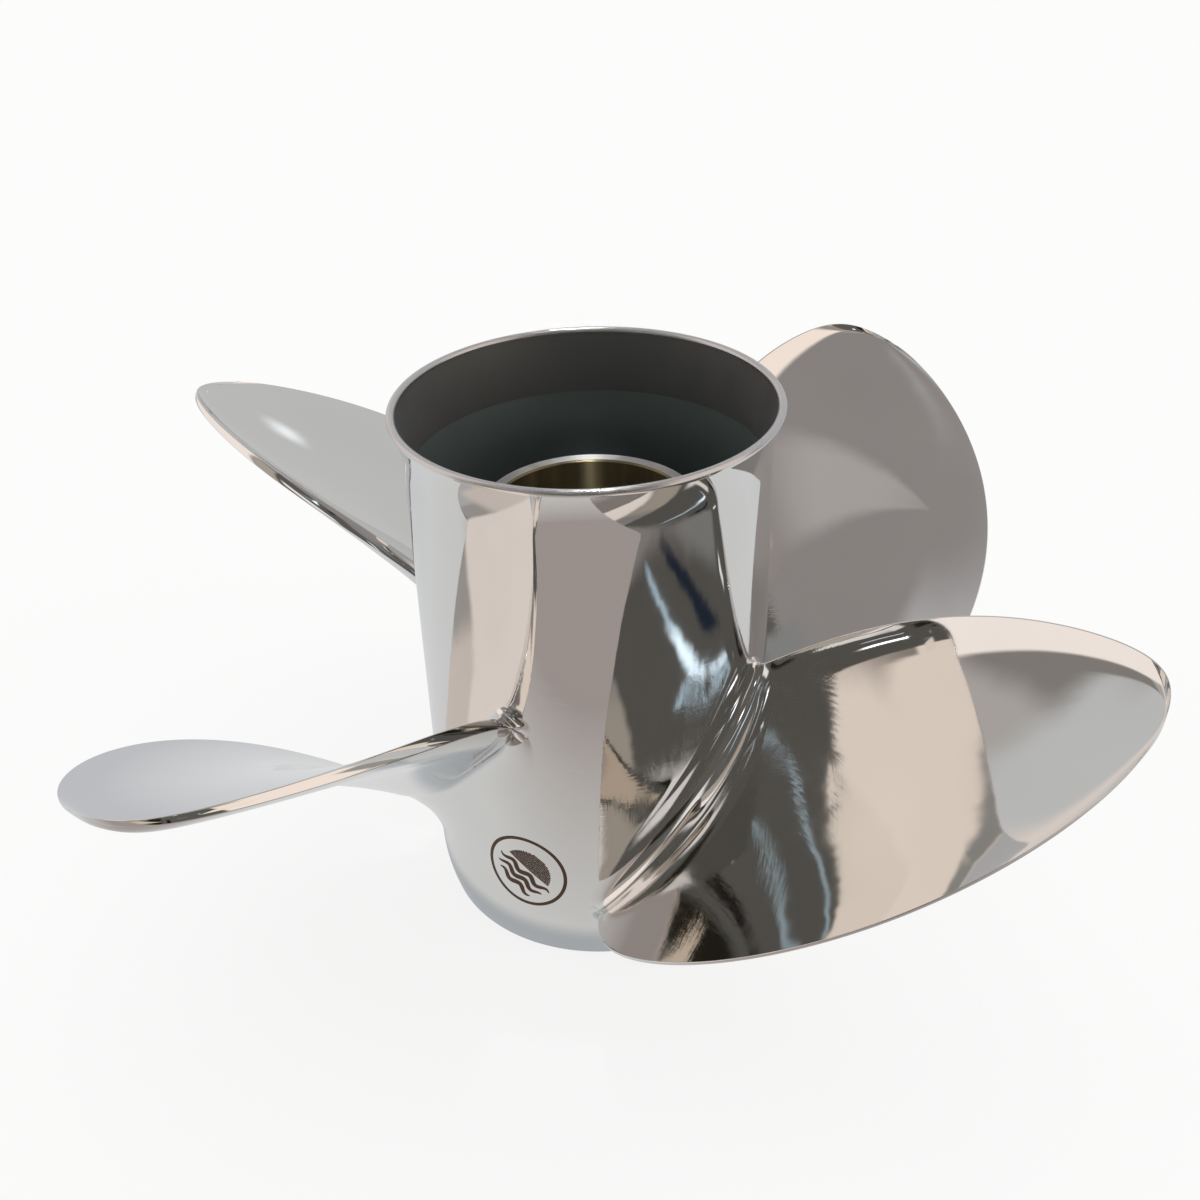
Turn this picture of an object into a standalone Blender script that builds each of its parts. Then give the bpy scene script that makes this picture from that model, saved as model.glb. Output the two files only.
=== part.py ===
"""Four-bladed outboard boat propeller in polished stainless steel.

Metres, +Z up. The shaft axis is Z, the forward end of the barrel rests at Z = 0 and the
flared aft end is on top. Blade 1 sweeps round the front right of the barrel.
"""

import math

import bmesh
import bpy
import numpy as np
from mathutils import Vector

# Barrel
BARREL_RADIUS = 0.0570
BARREL_BORE = 0.0530
NOSE_LENGTH = 0.018
NOSE_DROP = 0.0030
NOSE_LIP_BORE = 0.0505
NOSE_LIP_LENGTH = 0.006
NOSE_EDGE = 0.0012
NOSE_LIP_SLOPE = 0.004
NOSE_RINGS = 6
BARREL_RINGS = (0.095, 0.050)
RING_JOINT_HEIGHT = 0.1559
RING_JOINT_BORE = 0.0555
BORE_TAPER_LENGTH = 0.022

# Flared aft ring
TOTAL_HEIGHT = 0.1775
RIM_RADIUS = 0.0607
RIM_BORE = 0.0585
FLARE_START = 0.1610
LIP_ROUND = 0.0009
FLARE_RINGS = 6
RING_BORE_RINGS = 5
RING_BORE_CURVE = 1.5

# Inner hub and the plates that carry it
INNER_HUB_RADIUS = 0.0353
INNER_HUB_BORE = 0.0305
INNER_HUB_FORWARD = 0.008
INNER_HUB_AFT = 0.1418
HUB_CHAMFER = 0.0010
RIB_COUNT = 4
RIB_THICKNESS = 0.0045
RIB_FORWARD = 0.016
RIB_AFT = 0.118
RIB_ANGLE = 25.0

# Drive kit
BUSHING_FORWARD = 0.022
BUSHING_AFT = 0.104
BUSHING_GROOVE = 0.0012
GROOVE_OUTER_SHARE = 1.3
GROOVE_INNER_SHARE = 1.7
SLEEVE_RADIUS = 0.0178
SLEEVE_FORWARD = 0.014
SLEEVE_AFT = 0.112
SPLINE_TEETH = 15
SPLINE_TIP_RADIUS = 0.0117
SPLINE_ROOT_RADIUS = 0.0132
SPLINE_TIP_SHARE = 0.28
SPLINE_ROOT_SHARE = 0.17
CUTTER_MARGIN = 0.005

# Blades
BLADE_COUNT = 4
BLADE_START_ANGLE = -32.8
TIP_RADIUS = 0.1845
HELIX_RADIUS = 0.0517
ROOT_PITCH = 0.4293
PITCH_FALL = -0.0281
PITCH_RECOVERY = 0.0214
TRAILING_HEIGHT = 0.0896
RAKE_LINEAR = 0.0681
RAKE_SQUARED = -0.0087
RAKE_CUBED = -0.0026
EDGE_STATIONS = (0.0, 0.25, 0.5, 0.75, 1.0)
TRAILING_ANGLES = (2.5, 7.0, 3.1, -1.5, -9.6)
LEADING_ANGLES = (-59.0, -54.3, -38.6, -21.5, -9.6)
ROOT_THICKNESS = 0.0078
TIP_THICKNESS = 0.0026
TRAILING_ROOT_THICKNESS = 0.0054
TRAILING_TIP_THICKNESS = 0.0024
LEADING_THICKNESS = 0.0013
CUP_DEPTH = 0.0020
CUP_LENGTH = 0.10
FACE_HOLLOW = 0.0010
AFT_FILLET = 0.0110
FORWARD_FILLET = 0.0140
EDGE_FILLET = 0.0045
TIP_ROUND_STATION = 0.72
LAST_STATION = 0.99

# Fit and fineness
GAP = 0.0003
BARREL_STEPS = 72
HUB_STEPS = 48
SMOOTH_ANGLE = 35.0
FACE_POINTS = 13
EDGE_ARC_POINTS = 4
BLADE_SECTIONS = 11
FILLET_SECTIONS = (0.0003, 0.0010, 0.0024, 0.0046, 0.0075, 0.0110)

STEEL = ((0.62, 0.60, 0.58, 1.0), 0.08, 1.0)
CAST_STEEL = ((0.10, 0.10, 0.095, 1.0), 0.45, 1.0)
MACHINED = ((0.66, 0.65, 0.62, 1.0), 0.22, 1.0)
RUBBER = ((0.02, 0.02, 0.02, 1.0), 0.75, 0.0)
BRASS = ((0.62, 0.46, 0.20, 1.0), 0.30, 1.0)


def clear_scene():
    """Remove every object, so that the script can run again."""
    for item in list(bpy.data.objects):
        bpy.data.objects.remove(item, do_unlink=True)


def make_collection(name):
    collection = bpy.data.collections.new(name)
    bpy.context.scene.collection.children.link(collection)
    return collection


def make_material(name, look):
    color, roughness, metallic = look
    material = bpy.data.materials.new(name)
    material.use_nodes = True
    shader = material.node_tree.nodes["Principled BSDF"]
    shader.inputs["Base Color"].default_value = color
    shader.inputs["Roughness"].default_value = roughness
    shader.inputs["Metallic"].default_value = metallic
    return material


def add_object(name, mesh, collection, look=None):
    item = bpy.data.objects.new(name, mesh)
    collection.objects.link(item)
    if look is not None:
        mesh.materials.append(make_material(name + "_finish", look))
    return item


def shade_round(mesh):
    mesh.shade_smooth()
    mesh.set_sharp_from_angle(angle=math.radians(SMOOTH_ANGLE))


def turned(name, profile, steps, collection, look):
    """A closed profile of (radius, height) points, turned about Z.

    The points run down the outer side and back up the inner side.
    """
    mesh = bpy.data.meshes.new(name)
    points = [(radius, 0.0, height) for radius, height in profile]
    count = len(points)
    edges = [(i, (i + 1) % count) for i in range(count)]
    mesh.from_pydata(points, edges, [])
    item = add_object(name, mesh, collection, look)
    screw = item.modifiers.new("turn", "SCREW")
    screw.axis = "Z"
    screw.angle = math.tau
    screw.steps = steps
    screw.render_steps = steps
    screw.use_merge_vertices = True
    screw.merge_threshold = 0.00001
    screw.use_smooth_shade = True
    return item


def barrel_surface(height):
    """Outer radius of the barrel: a cylinder that draws in at the forward end."""
    if height >= NOSE_LENGTH:
        return BARREL_RADIUS
    return BARREL_RADIUS - NOSE_DROP * (1.0 - height / NOSE_LENGTH) ** 2


def barrel_profile():
    nose = np.linspace(NOSE_LENGTH, NOSE_EDGE, NOSE_RINGS)
    outer = [(BARREL_RADIUS, height) for height in (RING_JOINT_HEIGHT - GAP,) + BARREL_RINGS]
    outer += [(barrel_surface(height), height) for height in nose]
    edge = [(barrel_surface(0.0) - NOSE_EDGE, 0.0), (NOSE_LIP_BORE, 0.0)]
    inner = [
        (NOSE_LIP_BORE, NOSE_LIP_LENGTH),
        (BARREL_BORE, NOSE_LIP_LENGTH + NOSE_LIP_SLOPE),
        (BARREL_BORE, RING_JOINT_HEIGHT - BORE_TAPER_LENGTH),
        (RING_JOINT_BORE, RING_JOINT_HEIGHT - GAP),
    ]
    return outer + edge + inner


def flare_radius(height):
    """Outer radius of the aft ring, which opens like a trumpet to the rim."""
    rise = max(0.0, height - FLARE_START) / (TOTAL_HEIGHT - LIP_ROUND - FLARE_START)
    return BARREL_RADIUS + (RIM_RADIUS - BARREL_RADIUS) * min(rise, 1.0) ** 2


def ring_bore_radius(height):
    """Inner radius of the aft ring, which opens a little faster towards the rim."""
    rise = (height - RING_JOINT_HEIGHT) / (TOTAL_HEIGHT - RING_JOINT_HEIGHT)
    return RING_JOINT_BORE + (RIM_BORE - RING_JOINT_BORE) * rise ** RING_BORE_CURVE


def ring_profile():
    outer_heights = np.linspace(TOTAL_HEIGHT - LIP_ROUND, FLARE_START, FLARE_RINGS)
    outer = [(flare_radius(height), height) for height in outer_heights]
    inner_heights = np.linspace(RING_JOINT_HEIGHT, TOTAL_HEIGHT - LIP_ROUND, RING_BORE_RINGS)
    inner = [(ring_bore_radius(height), height) for height in inner_heights]
    lip = [(RIM_BORE + 0.4 * LIP_ROUND, TOTAL_HEIGHT), (RIM_RADIUS - 0.8 * LIP_ROUND, TOTAL_HEIGHT)]
    return outer + [(BARREL_RADIUS, RING_JOINT_HEIGHT)] + inner + lip


def tube_profile(outer, bore, bottom, top, chamfer):
    """A tube whose four end edges are chamfered."""
    return [
        (outer - chamfer, top),
        (outer, top - chamfer),
        (outer, bottom + chamfer),
        (outer - chamfer, bottom),
        (bore + chamfer, bottom),
        (bore, bottom + chamfer),
        (bore, top - chamfer),
        (bore + chamfer, top),
    ]


def bushing_profile():
    """The rubber ring, with a shallow moulded groove in each end face."""
    outer = INNER_HUB_BORE - GAP
    bore = SLEEVE_RADIUS + GAP
    third = (outer - bore) / 3.0
    groove = BUSHING_GROOVE
    return [
        (outer, BUSHING_AFT),
        (outer, BUSHING_FORWARD),
        (outer - third, BUSHING_FORWARD),
        (outer - GROOVE_OUTER_SHARE * third, BUSHING_FORWARD + groove),
        (outer - GROOVE_INNER_SHARE * third, BUSHING_FORWARD + groove),
        (bore + third, BUSHING_FORWARD),
        (bore, BUSHING_FORWARD),
        (bore, BUSHING_AFT),
        (bore + third, BUSHING_AFT),
        (outer - GROOVE_INNER_SHARE * third, BUSHING_AFT - groove),
        (outer - GROOVE_OUTER_SHARE * third, BUSHING_AFT - groove),
        (outer - third, BUSHING_AFT),
    ]


def spline_outline():
    """The bore's outline: fifteen grooves, each with a flat root and sloping flanks."""
    points = []
    tooth = math.tau / SPLINE_TEETH
    corners = ((-SPLINE_TIP_SHARE, SPLINE_TIP_RADIUS), (-SPLINE_ROOT_SHARE, SPLINE_ROOT_RADIUS),
               (SPLINE_ROOT_SHARE, SPLINE_ROOT_RADIUS), (SPLINE_TIP_SHARE, SPLINE_TIP_RADIUS))
    for index in range(SPLINE_TEETH):
        for share, radius in corners:
            angle = tooth * (index + share)
            points.append((radius * math.cos(angle), radius * math.sin(angle)))
    return points


def spline_cutter(collection):
    """A long splined bar that cuts the sleeve's bore."""
    mesh = bpy.data.meshes.new("spline_cutter")
    shape = bmesh.new()
    ring = [shape.verts.new((x, y, SLEEVE_FORWARD - CUTTER_MARGIN)) for x, y in spline_outline()]
    face = shape.faces.new(ring)
    grown = bmesh.ops.extrude_face_region(shape, geom=[face])
    top = [item for item in grown["geom"] if isinstance(item, bmesh.types.BMVert)]
    height = SLEEVE_AFT - SLEEVE_FORWARD + 2.0 * CUTTER_MARGIN
    bmesh.ops.translate(shape, verts=top, vec=Vector((0.0, 0.0, height)))
    bmesh.ops.recalc_face_normals(shape, faces=shape.faces)
    shape.to_mesh(mesh)
    shape.free()
    cutter = add_object("spline_cutter", mesh, collection)
    cutter.hide_render = True
    cutter.display_type = "WIRE"
    return cutter


def drive_sleeve(parts, cutters):
    profile = [
        (SLEEVE_RADIUS - HUB_CHAMFER, SLEEVE_AFT),
        (SLEEVE_RADIUS, SLEEVE_AFT - HUB_CHAMFER),
        (SLEEVE_RADIUS, SLEEVE_FORWARD + HUB_CHAMFER),
        (SLEEVE_RADIUS - HUB_CHAMFER, SLEEVE_FORWARD),
        (0.5 * SPLINE_TIP_RADIUS, SLEEVE_FORWARD),
        (0.5 * SPLINE_TIP_RADIUS, SLEEVE_AFT),
    ]
    sleeve = turned("drive_sleeve", profile, HUB_STEPS, parts, BRASS)
    cut = sleeve.modifiers.new("spline", "BOOLEAN")
    cut.operation = "DIFFERENCE"
    cut.object = spline_cutter(cutters)
    return sleeve


def rib(index, collection):
    """A plate from the inner hub to the barrel."""
    inner = INNER_HUB_RADIUS + GAP
    outer = math.sqrt((BARREL_BORE - 2.0 * GAP) ** 2 - (0.5 * RIB_THICKNESS) ** 2)
    size = (outer - inner, RIB_THICKNESS, RIB_AFT - RIB_FORWARD)
    mesh = bpy.data.meshes.new(f"rib_{index + 1}")
    shape = bmesh.new()
    bmesh.ops.create_cube(shape, size=1.0)
    bmesh.ops.scale(shape, vec=Vector(size), verts=shape.verts)
    middle = Vector((0.5 * (inner + outer), 0.0, 0.5 * (RIB_FORWARD + RIB_AFT)))
    bmesh.ops.translate(shape, vec=middle, verts=shape.verts)
    shape.to_mesh(mesh)
    shape.free()
    item = add_object(f"rib_{index + 1}", mesh, collection, CAST_STEEL)
    item.rotation_euler.z = math.radians(RIB_ANGLE) + math.tau * index / RIB_COUNT
    return item


def through_stations(values, station):
    """The smooth curve through the five edge stations, read at one station."""
    total = 0.0
    for i, value in enumerate(values):
        weight = 1.0
        for j, other in enumerate(EDGE_STATIONS):
            if j != i:
                weight *= (station - other) / (EDGE_STATIONS[i] - other)
        total += weight * value
    return total


def station_of(radius):
    share = (radius - HELIX_RADIUS) / (TIP_RADIUS - HELIX_RADIUS)
    return 1.0 - math.sqrt(max(0.0, 1.0 - share))


def radius_of(station):
    return HELIX_RADIUS + (TIP_RADIUS - HELIX_RADIUS) * (1.0 - (1.0 - station) ** 2)


def fillet_reach(height, fillet):
    """How far a root fillet stands out from the blade at this height over the barrel."""
    if height >= fillet:
        return 0.0
    return fillet - math.sqrt(fillet ** 2 - (fillet - height) ** 2)


def tip_thinning(station):
    """Falls from 1 to 0 over the last of the span, as a round end does."""
    beyond = max(0.0, station - TIP_ROUND_STATION) / (1.0 - TIP_ROUND_STATION)
    return math.sqrt(1.0 - beyond ** 2)


def blade_thickness(chord, reach):
    """Thickness at a share of the chord from the trailing edge, and of the span."""
    trailing = TRAILING_ROOT_THICKNESS + (TRAILING_TIP_THICKNESS - TRAILING_ROOT_THICKNESS) * reach
    most = ROOT_THICKNESS + (TIP_THICKNESS - ROOT_THICKNESS) * reach
    straight = trailing + (LEADING_THICKNESS - trailing) * chord
    swell = max(0.0, most - 0.5 * (trailing + LEADING_THICKNESS))
    return straight + swell * math.sin(math.pi * chord)


def blade_section(radius):
    """One closed section, as it lies unrolled on the cylinder of this radius.

    Points are (arc length, height). The four lists are the aft face from the trailing edge
    to the leading edge, the round leading edge, the forward face on the way back, and the
    round trailing edge.
    """
    station = station_of(radius)
    reach = (radius - HELIX_RADIUS) / (TIP_RADIUS - HELIX_RADIUS)
    trailing = math.radians(through_stations(TRAILING_ANGLES, station)) * radius
    leading = math.radians(through_stations(LEADING_ANGLES, station)) * radius
    pitch = ROOT_PITCH + PITCH_FALL * reach + PITCH_RECOVERY * reach ** 2
    slope = pitch / (math.tau * radius)
    rake = RAKE_LINEAR * reach + RAKE_SQUARED * reach ** 2 + RAKE_CUBED * reach ** 3
    along = Vector((1.0, slope)).normalized()
    normal = Vector((-along.y, along.x))
    thinning = tip_thinning(station)
    half_trailing = 0.5 * blade_thickness(0.0, reach) * thinning
    half_leading = 0.5 * blade_thickness(1.0, reach) * thinning
    start = trailing - half_trailing * along.x
    end = leading + half_leading * along.x
    height = radius - BARREL_RADIUS
    edge_flare = fillet_reach(height, EDGE_FILLET)

    def aft_point(chord):
        arc = start + (end - start) * chord
        point = Vector((arc, TRAILING_HEIGHT + rake + slope * arc))
        curl = 1.0 - max(0.0, 1.0 - chord / CUP_LENGTH) ** 2
        cup = CUP_DEPTH * curl * (1.0 - chord) ** 2
        hollow = FACE_HOLLOW * 4.0 * chord * (1.0 - chord)
        return point - normal * (cup + hollow) * thinning

    def flare(chord, side_fillet):
        share = math.sqrt(max(0.0, 4.0 * chord * (1.0 - chord)))
        return fillet_reach(height, EDGE_FILLET + (side_fillet - EDGE_FILLET) * share)

    def forward_point(chord):
        depth = blade_thickness(chord, reach) * thinning + flare(chord, FORWARD_FILLET)
        return aft_point(chord) - normal * depth

    def round_edge(chord, half, outward):
        centre = aft_point(chord) - normal * half
        points = []
        for step in range(1, EDGE_ARC_POINTS + 1):
            angle = math.pi * step / (EDGE_ARC_POINTS + 1)
            ray = normal * math.cos(angle) + outward * math.sin(angle)
            points.append(centre + ray * (half + edge_flare))
        return points

    chords = [0.5 - 0.5 * math.cos(math.pi * i / (FACE_POINTS - 1)) for i in range(FACE_POINTS)]
    aft = [aft_point(c) + normal * flare(c, AFT_FILLET) for c in chords]
    forward = [forward_point(c) for c in chords]
    leading_edge = round_edge(1.0, half_leading, -along)
    trailing_edge = round_edge(0.0, half_trailing, along)
    return aft, leading_edge, forward[::-1], trailing_edge[::-1]


def wrap(point, radius, start_angle):
    """Roll an unrolled point back on to its cylinder, and close to the nose near the root."""
    angle = start_angle + point.x / radius
    near_root = max(0.0, 1.0 - (radius - BARREL_RADIUS) / FORWARD_FILLET)
    radius -= (BARREL_RADIUS - barrel_surface(max(point.y, 0.0))) * near_root
    return (radius * math.cos(angle), radius * math.sin(angle), point.y)


def blade_radii():
    """Section radii: close together in the root fillet, then out to the tip."""
    radii = [BARREL_RADIUS + height for height in FILLET_SECTIONS]
    beyond = station_of(BARREL_RADIUS + FORWARD_FILLET)
    stations = np.linspace(beyond, LAST_STATION, BLADE_SECTIONS)
    return radii + [radius_of(float(station)) for station in stations]


def add_cap(shape, radius, start_angle, ring):
    """Close one end with a grid that lies on its cylinder, and so follows the barrel."""
    aft, leading_edge, forward, trailing_edge = blade_section(radius)
    forward = forward[::-1]
    count = len(aft)
    total = len(ring)
    back = count + EDGE_ARC_POINTS
    columns = []
    for i in range(count):
        column = [ring[i]]
        for step in range(1, EDGE_ARC_POINTS + 1):
            point = aft[i].lerp(forward[i], step / (EDGE_ARC_POINTS + 1))
            column.append(shape.verts.new(wrap(point, radius, start_angle)))
        column.append(ring[back + count - 1 - i])
        columns.append(column)
    leading = ring[count:back]
    trailing = ring[back + count:total][::-1]
    columns = [[ring[0]] + trailing + [columns[0][-1]]] + columns
    columns.append([columns[-1][0]] + leading + [columns[-1][-1]])
    for left, right in zip(columns, columns[1:]):
        for i in range(len(left) - 1):
            corners = (left[i], right[i], right[i + 1], left[i + 1])
            shape.faces.new(list(dict.fromkeys(corners)))


def blade(index, collection):
    """A loft between the sections, closed by a cap at the root and at the tip."""
    name = f"blade_{index + 1}"
    start_angle = math.radians(BLADE_START_ANGLE) + math.tau * index / BLADE_COUNT
    mesh = bpy.data.meshes.new(name)
    shape = bmesh.new()
    radii = blade_radii()
    rings = []
    for radius in radii:
        points = [wrap(p, radius, start_angle) for part in blade_section(radius) for p in part]
        rings.append([shape.verts.new(point) for point in points])
    for lower, upper in zip(rings, rings[1:]):
        count = len(lower)
        for i in range(count):
            j = (i + 1) % count
            shape.faces.new((lower[i], lower[j], upper[j], upper[i]))
    add_cap(shape, radii[0], start_angle, rings[0])
    add_cap(shape, radii[-1], start_angle, rings[-1])
    bmesh.ops.triangulate(shape, faces=shape.faces)
    bmesh.ops.recalc_face_normals(shape, faces=shape.faces)
    shape.to_mesh(mesh)
    shape.free()
    shade_round(mesh)
    return add_object(name, mesh, collection, STEEL)


def main():
    clear_scene()
    parts = make_collection("outboard_propeller")
    cutters = make_collection("cutters")
    turned("hub_barrel", barrel_profile(), BARREL_STEPS, parts, STEEL)
    turned("diffuser_ring", ring_profile(), BARREL_STEPS, parts, STEEL)
    hub = tube_profile(INNER_HUB_RADIUS, INNER_HUB_BORE, INNER_HUB_FORWARD, INNER_HUB_AFT, HUB_CHAMFER)
    turned("inner_hub", hub, HUB_STEPS, parts, MACHINED)
    turned("hub_bushing", bushing_profile(), HUB_STEPS, parts, RUBBER)
    drive_sleeve(parts, cutters)
    for index in range(RIB_COUNT):
        rib(index, parts)
    for index in range(BLADE_COUNT):
        blade(index, parts)


if __name__ == "__main__":
    main()
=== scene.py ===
"""Looks of a four-bladed outboard boat propeller in mirror-polished stainless steel.

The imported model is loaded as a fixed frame. Each operator below builds one piece, or one group
of like pieces, round it, and the last one sets the stage. Metres, +Z up, the shaft axis on Z.
"""

import math

import bmesh
import bpy
import numpy as np
from bpy.props import FloatProperty, FloatVectorProperty, IntProperty, PointerProperty
from mathutils import Matrix, Vector


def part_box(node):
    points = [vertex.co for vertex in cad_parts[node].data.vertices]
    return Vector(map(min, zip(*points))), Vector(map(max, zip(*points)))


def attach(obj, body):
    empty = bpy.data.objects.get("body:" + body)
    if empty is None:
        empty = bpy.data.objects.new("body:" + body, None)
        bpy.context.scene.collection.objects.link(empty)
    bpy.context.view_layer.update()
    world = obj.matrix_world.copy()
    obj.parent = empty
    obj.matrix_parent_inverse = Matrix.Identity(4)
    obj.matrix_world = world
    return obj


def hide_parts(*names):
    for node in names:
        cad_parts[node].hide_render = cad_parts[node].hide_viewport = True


bl_info = {
    "name": "Outboard Propeller Looks",
    "version": (1, 0, 0),
    "blender": (4, 5, 0),
    "location": "3D View > Sidebar > Propeller",
    "description": "Builds the finished surfaces of a four-bladed stainless steel propeller",
    "category": "Add Mesh",
}

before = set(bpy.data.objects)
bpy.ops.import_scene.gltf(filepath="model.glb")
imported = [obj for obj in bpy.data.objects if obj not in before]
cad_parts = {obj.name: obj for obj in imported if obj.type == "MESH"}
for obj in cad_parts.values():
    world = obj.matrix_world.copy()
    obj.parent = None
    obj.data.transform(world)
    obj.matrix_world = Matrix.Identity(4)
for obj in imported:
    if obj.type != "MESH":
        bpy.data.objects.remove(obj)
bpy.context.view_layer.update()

MM = 0.001
MIRROR_STEEL = "mirror_steel"
BLADE_NODES = ("blade_1", "blade_2", "blade_3", "blade_4")
RIB_NODES = ("rib_1", "rib_2", "rib_3", "rib_4")

# Sizes that the frame gives
RING_LOW, RING_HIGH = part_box("diffuser_ring")
HUB_LOW, HUB_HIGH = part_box("inner_hub")
BUSHING_LOW, BUSHING_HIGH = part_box("hub_bushing")
SLEEVE_LOW, SLEEVE_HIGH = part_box("drive_sleeve")

# Barrel, ring and inner hub
NOSE_LENGTH = 18.0 * MM
NOSE_DROP = 3.0 * MM
NOSE_EDGE = 1.2 * MM
NOSE_LIP_LENGTH = 6.0 * MM
NOSE_LIP_SLOPE = 4.0 * MM
NOSE_LIP_EDGE = 0.8 * MM
NOSE_POLISH = 1.5 * MM
BARREL_RADIUS = 57.0 * MM
RING_JOINT_BORE = 55.5 * MM
BORE_TAPER_LENGTH = 22.0 * MM
FLARE_START = 161.0 * MM
RIM_POLISH = 1.6 * MM
RIM_LIP = 1.2 * MM
RING_CURVE = 1.5
BORE_SHADE_SOFTNESS = 1.0 * MM
INWARD_SLANT = -0.2
UPRIGHT_WALL = 0.95
HUB_STEPS = 160
BUSHING_STEPS = 128
WELD_DISTANCE = 0.002 * MM

# Blade surface: its helix, edges and rake are those of the solids
HELIX_RADIUS = 51.7 * MM
TIP_RADIUS = 184.5 * MM
ROOT_PITCH = 429.3 * MM
PITCH_FALL = -28.1 * MM
PITCH_RECOVERY = 21.4 * MM
TRAILING_HEIGHT = 89.6 * MM
RAKE = (68.1 * MM, -8.7 * MM, -2.6 * MM)
EDGE_STATIONS = (0.0, 0.25, 0.5, 0.75, 1.0)
TRAILING_ANGLES = (2.5, 7.0, 3.1, -1.5, -9.6)
LEADING_ANGLES = (-59.0, -54.3, -38.6, -21.5, -9.6)
BLADE_START_ANGLE = -32.8
LEADING_THICKNESS = 1.3 * MM
TRAILING_CORNER = 0.5 * MM
CORNER_LIMIT = 0.7
TRAILING_CROWN = 0.20 * MM
TRAILING_BEVEL = 0.20
TIP_ROUND_STATION = 0.72
LAST_STATION = 0.9985
FACE_HOLLOW = 1.0 * MM
CUP_LENGTH = 0.10
RIPPLE_DEPTH = 0.21 * MM
RIPPLE_LENGTH = 10.0 * MM
RIPPLE_FADE = 1.5
RIPPLE_WANDER = ((1.4, 5.0), (0.3, 19.0))
MARKED_CORE = 9.0 * MM
MARKED_REACH = 38.0 * MM

# Blade mesh: points over a face and round an edge, sections in the root fillet and beyond it
FACE_POINTS = 64
ARC_POINTS = 13
FILLET_STEPS = 26
FILLET_CROWDING = 1.5
SPAN_STEPS = 78
ROOT_SUNK = 0.03 * MM

# Ribs, bushing and sleeve
RIB_HALF = 2.2 * MM
RIB_FLARE = 2.0 * MM
RIB_EDGE = 0.7 * MM
PRESSED = 0.1 * MM
BUSHING_EDGE = 0.8 * MM
BUSHING_GROOVE = 1.2 * MM
BUSHING_GROOVE_SHARE = 0.2
SLEEVE_CHAMFER = 1.0 * MM
SPLINE_TEETH = 15
SPLINE_ROOT = 13.2 * MM
SPLINE_TIP = 11.7 * MM
SPLINE_EASE = 0.1 * MM
SPLINE_LEAD = 0.4 * MM
SPLINE_LEAD_LENGTH = 0.5 * MM

# Etched mark: its place, its ring, then three waves under a half disc of fine lines
MARK_ANGLE = math.radians(-116.3)
MARK_HEIGHT = 34.7 * MM
MARK_TILT = math.radians(-38.0)
MARK_RAISED = 0.03 * MM
MARK_SUNK = -0.10 * MM
MARK_RADIUS = 13.6 * MM
MARK_RING_HALF = 0.6 * MM
WAVES = ((-1.2 * MM, 10.5 * MM), (-4.4 * MM, 9.2 * MM), (-7.6 * MM, 7.0 * MM))
WAVE_HEIGHT = 0.9 * MM
WAVE_LENGTH = 1.15 * MM
WAVE_HALF = 0.95 * MM
WAVE_END = 0.03
DISC_RADIUS = 8.6 * MM
DISC_LEVELS = (1.6, 8.8, 0.6)
DISC_LINE_HALF = 0.24 * MM
DISC_SHORTEST = 1.0 * MM

# Relief that polishing by hand left in the steel
WAVE_RELIEF = 0.09 * MM
BUFFED_RELIEF = 0.010 * MM
SWIRL_RELIEF = 0.045 * MM
STROKE_RELIEF = 0.06 * MM

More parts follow.
